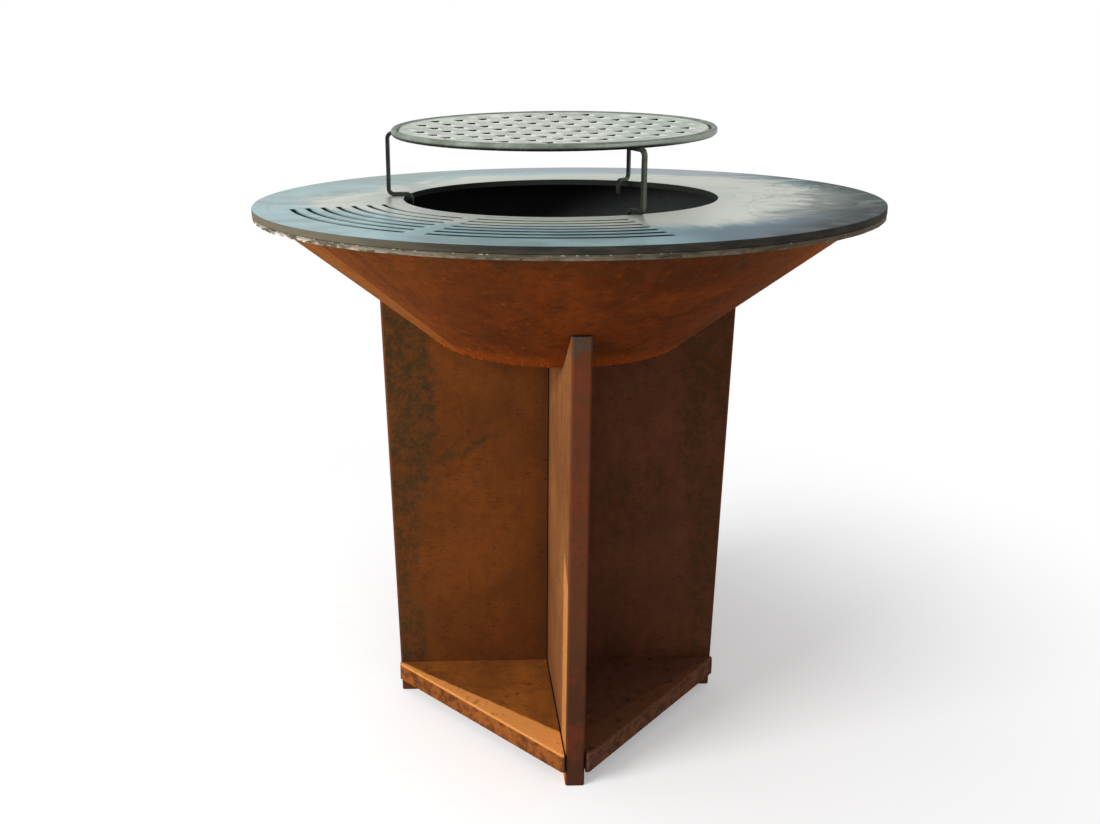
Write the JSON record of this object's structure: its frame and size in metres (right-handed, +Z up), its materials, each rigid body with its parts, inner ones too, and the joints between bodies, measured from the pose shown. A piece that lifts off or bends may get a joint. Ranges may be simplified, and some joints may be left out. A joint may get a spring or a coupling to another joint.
{
  "type": "brazier barbecue",
  "caption": "Free-standing brazier barbecue: conical weathering-steel fire bowl on a cross of hollow fins with firewood trays, ring-shaped slotted cooking plate and a raised round grate.",
  "frame": {"origin": "on the bowl's axis, at floor level", "axes": "+Z is up along the bowl's axis, -Y points to the front along one fin, +X to the right along another"},
  "size_m": [0.9999, 1, 1.0281],
  "materials": {
    "weathering_steel": "rough, rusted",
    "plate_steel": "satin, heat tinted",
    "hoop_steel": "satin",
    "grid_steel": "satin",
    "leg_steel": "dark mill scale"
  },
  "bodies": {
    "base": {"core_tube": "weathering_steel", "fin_right": "weathering_steel", "fin_back": "weathering_steel", "fin_left": "weathering_steel", "fin_front": "weathering_steel", "foot_strip_right": "weathering_steel", "foot_strip_back": "weathering_steel", "foot_strip_left": "weathering_steel", "foot_strip_front": "weathering_steel", "tray_back_right": "weathering_steel", "tray_back_left": "weathering_steel", "tray_front_left": "weathering_steel", "tray_front_right": "weathering_steel"},
    "bowl": {"bowl_cone": "weathering_steel", "bowl_floor": "weathering_steel", "rim_ring": "plate_steel"},
    "plancha": {"plancha_ring": "plate_steel", "plancha_lugs": "plate_steel"},
    "grate_stand": {"grate_hoop": "hoop_steel", "grate_leg_left": "leg_steel", "grate_leg_front": "leg_steel", "grate_leg_back": "leg_steel"},
    "grid": {"grid_plate": "grid_steel"}
  },
  "joints": [
    {"name": "bowl_lift", "type": "slide", "parent": "base", "child": "bowl", "axis": [0, 0, 1], "range_m": [0, 0.2]},
    {"name": "plancha_lift", "type": "slide", "parent": "bowl", "child": "plancha", "axis": [0, 0, 1], "range_m": [0, 0.15]},
    {"name": "stand_lift", "type": "slide", "parent": "plancha", "child": "grate_stand", "axis": [0, 0, 1], "range_m": [0, 0.12]},
    {"name": "grid_lift", "type": "slide", "parent": "grate_stand", "child": "grid", "axis": [0, 0, 1], "range_m": [0, 0.08]}
  ]
}
